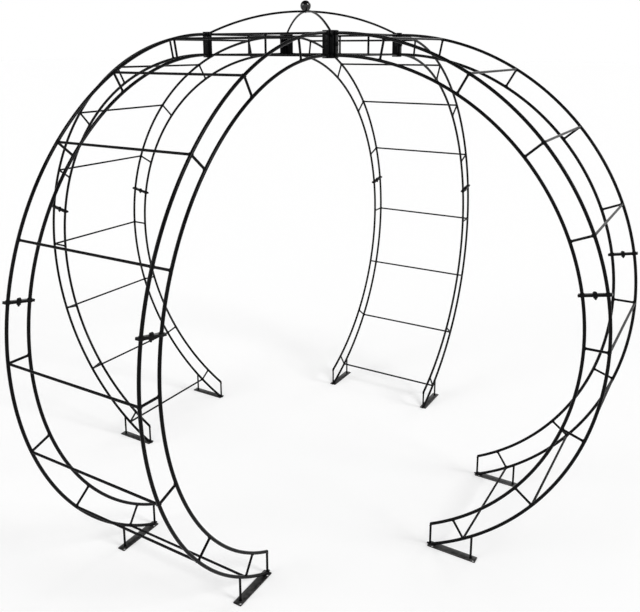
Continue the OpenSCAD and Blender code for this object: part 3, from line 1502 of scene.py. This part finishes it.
@dataclass
class BoltSets:
    """The bolts of the rib joints and of the crown, with washers and nuts.

    Attributes:
        paints: The materials of the finishes.
        sizes: Shared sizes.
        bolt_d: Diameter of the bolts.
        hex_w: Width across the flats of heads and nuts.
        head_h: Height of a head with its washer.
        nut_h: Height of a nut with its washer.
        tail: Length of thread past a nut.
        washer_r: Radius of a washer.
        washer_t: Thickness of a washer.
        washer_edge: Rounding of a washer's edges.
        washer_sides: Faces around a washer.
        hex_edge: Rounding of the heads' and nuts' edges.
        face_t: Height of the round face on a hexagon.
        face_share: Radius of that face, as a share of the width across flats.
        face_sides: Faces around it.
    """

    paints: Paints
    sizes: GazeboSizes = field(default_factory=GazeboSizes)
    bolt_d: float = 0.01
    hex_w: float = 0.017
    head_h: float = 0.0075
    nut_h: float = 0.009
    tail: float = 0.007
    washer_r: float = 0.0102
    washer_t: float = 0.0018
    washer_edge: float = 0.0003
    washer_sides: int = 28
    hex_edge: float = 0.0005
    face_t: float = 0.0002
    face_share: float = 0.43
    face_sides: int = 24

    def _head(self, piece: Workpiece, start: Vector, along: Vector, height: float) -> None:
        """Adds a head or nut on its washer, with a raised round face.

        Args:
            piece: The bolt set.
            start: Point on the face under the washer.
            along: Direction away from the joint.
            height: Height of both together.
        """
        seat = start + along * self.washer_t
        piece.rod(start, seat, self.washer_r, self.washer_sides, self.washer_edge)
        top = start + along * (height - self.face_t)
        radius = self.hex_w / 2 / math.cos(math.radians(30))
        piece.rod(seat, top, radius, piece.hex_sides, self.hex_edge)
        piece.rod(top, top + along * self.face_t, self.hex_w * self.face_share, self.face_sides)

    def bolt(self, piece: Workpiece, face: Vector, along: Vector, grip: float) -> None:
        """Adds one bolt with its washers and nut.

        Args:
            piece: The bolt set.
            face: Point on the face under the head.
            along: Direction from the joint towards the head.
            grip: Thickness of what the bolt holds.
        """
        back = face - along * grip
        self._head(piece, face, along, self.head_h)
        self._head(piece, back, -along, self.nut_h)
        piece.thread(back - along * self.nut_h, -along, self.bolt_d / 2, self.tail)

    def build(self) -> None:
        """Builds both bolt sets."""
        s = self.sizes
        places = (
            ("rib_joint_bolts", s.joint_angle, -s.tangent(s.joint_angle), 2 * s.flat_t),
            ("crown_bolts", 0.0, s.tangent(0.0), s.flat_t + s.corner_t),
        )
        for name, angle, ahead, grip in places:
            piece = Workpiece()
            for arm in Arm:
                for hand in Hand:
                    face = s.on_rib(hand.value, angle, s.mid_radius) + ahead * s.flat_t
                    self.bolt(piece, arm.turn @ face, arm.turn.to_3x3() @ ahead, grip)
            piece.finish(f"{name}_hex", Finish.BOLTS, self.paints, UNTURNED, [name], IRON_SEAMS)


@dataclass(frozen=True)
class Lamp:
    """A broad lamp, far away.

    Attributes:
        name: Its name.
        towards: Direction from the gazebo to the lamp.
        level: Light that it throws on a face turned to it, as a share of white.
        spread: Angle that it fills.
    """

    name: str
    towards: tuple[float, float, float]
    level: float
    spread: float

    def build(self) -> None:
        """Sets up the lamp."""
        data = bpy.data.lights.new(self.name, "SUN")
        data.energy = self.level * math.pi
        data.angle = math.radians(self.spread)
        lamp = bpy.data.objects.new(self.name, data)
        lamp.rotation_mode = "QUATERNION"
        lamp.rotation_quaternion = Vector(self.towards).to_track_quat("Z", "Y")
        bpy.context.scene.collection.objects.link(lamp)


@dataclass(frozen=True)
class Studio:
    """The pale floor, the soft light and the camera.

    Attributes:
        sky: Level of the sky's light on the object.
        ceiling: Level of the dark ceiling that shiny pieces show.
        ceiling_fade: Rises of a ray between which the white gives way to the ceiling.
        white: Level at which the fully lit floor is seen.
        floor_colour: Grey of the floor.
        floor_size: Half the floor's width.
        sensor: Width of the camera's sensor, in millimetres.
        lens: Focal length of the camera, in millimetres.
        lift: Shift of the camera's view, up or, below 0, down, as a share of its width.
        view_end: Distance up to which the camera sees.
        eye: Place of the camera.
        azimuth: Turn of the camera about the gazebo.
        pitch: How far the camera looks down.
        lamps: The lamps.
    """

    sky: float = 0.44
    ceiling: float = 0.04
    ceiling_fade: tuple[float, float] = (0.25, 0.6)
    white: float = 1.02
    floor_colour: float = 0.78
    floor_size: float = 150.0
    sensor: float = 36.0
    lens: float = 40.86
    lift: float = -0.1499
    view_end: float = 500.0
    eye: tuple[float, float, float] = (2.2415, -3.6171, 2.5904)
    azimuth: float = 30.69
    pitch: float = 12.52
    lamps: tuple[Lamp, ...] = (
        Lamp("right", (0.85, 0.03, 0.53), 0.6, 20.0),
        Lamp("front_left", (-0.5, -0.75, 0.42), 0.34, 30.0),
        Lamp("back", (0.1, 0.9, 0.5), 0.14, 20.0),
    )

    def _seen(self, graph: Graph) -> Wire:
        """Share of the rays that show the background itself.

        Args:
            graph: The graph of the material or world.

        Returns:
            1 for the camera's rays and those that metal or glass sends on, otherwise 0.
        """
        kinds = ("Is Camera Ray", "Is Glossy Ray", "Is Transmission Ray")
        camera, glossy, clear = (graph.node("ShaderNodeLightPath", {}, {}, kind) for kind in kinds)
        return graph.ramp(camera + glossy + clear, 0.0, 1.0)

    def sky_light(self) -> None:
        """Makes the white surroundings under a dark ceiling."""
        world = bpy.data.worlds.new("white_studio")
        graph = Graph(world)
        way = graph.node("ShaderNodeTexCoord", {}, {}, "Generated")
        rise = graph.node("ShaderNodeSeparateXYZ", {}, {0: way}, 2)
        shown = graph.ramp(rise, *self.ceiling_fade, 1.0, self.ceiling)
        seen = self._seen(graph)
        level = seen * shown + (1.0 - seen) * self.sky
        white = graph.node("ShaderNodeBackground", {}, {"Color": (1, 1, 1, 1), "Strength": level})
        graph.node("ShaderNodeOutputWorld", {}, {"Surface": white})
        bpy.context.scene.world = world

    def floor(self) -> None:
        """Makes the pale floor."""
        mesh = bmesh.new()
        bmesh.ops.create_grid(mesh, x_segments=1, y_segments=1, size=self.floor_size)
        data = bpy.data.meshes.new("floor")
        mesh.to_mesh(data)
        mesh.free()
        material = bpy.data.materials.new("pale_floor")
        graph = Graph(material)
        grey = self.floor_colour
        matt = graph.node("ShaderNodeBsdfDiffuse", {}, {"Color": (grey, grey, grey, 1.0)})
        rest = self._seen(graph) * (self.white - grey)
        glow = graph.node("ShaderNodeEmission", {}, {"Strength": rest})
        both = graph.node("ShaderNodeAddShader", {}, {0: matt, 1: glow})
        graph.node("ShaderNodeOutputMaterial", {}, {"Surface": both})
        data.materials.append(material)
        floor = bpy.data.objects.new("floor", data)
        bpy.context.scene.collection.objects.link(floor)

    def camera(self) -> None:
        """Places the camera."""
        data = bpy.data.cameras.new("camera")
        data.sensor_width = self.sensor
        data.lens = self.lens
        data.shift_y = self.lift
        data.clip_end = self.view_end
        camera = bpy.data.objects.new("camera", data)
        camera.location = self.eye
        camera.rotation_euler = (math.radians(90 - self.pitch), 0.0, math.radians(self.azimuth))
        bpy.context.scene.collection.objects.link(camera)
        bpy.context.scene.camera = camera

    def build(self) -> None:
        """Sets up the studio."""
        bpy.context.scene.view_settings.view_transform = "Standard"
        self.sky_light()
        self.floor()
        for lamp in self.lamps:
            lamp.build()
        self.camera()


def main() -> None:
    """Builds the gazebo's sub-assemblies in order, then the studio."""
    logging.basicConfig(level=logging.INFO, format="%(name)s: %(message)s")
    paints = {finish: finish.value.make() for finish in Finish}
    for arm in Arm:
        LadderArm(arm, paints).build()
    for parts in (FootPlates, Crown, Dome, BoltSets):
        parts(paints).build()
    Studio().build()


if __name__ == "__main__":
    main()
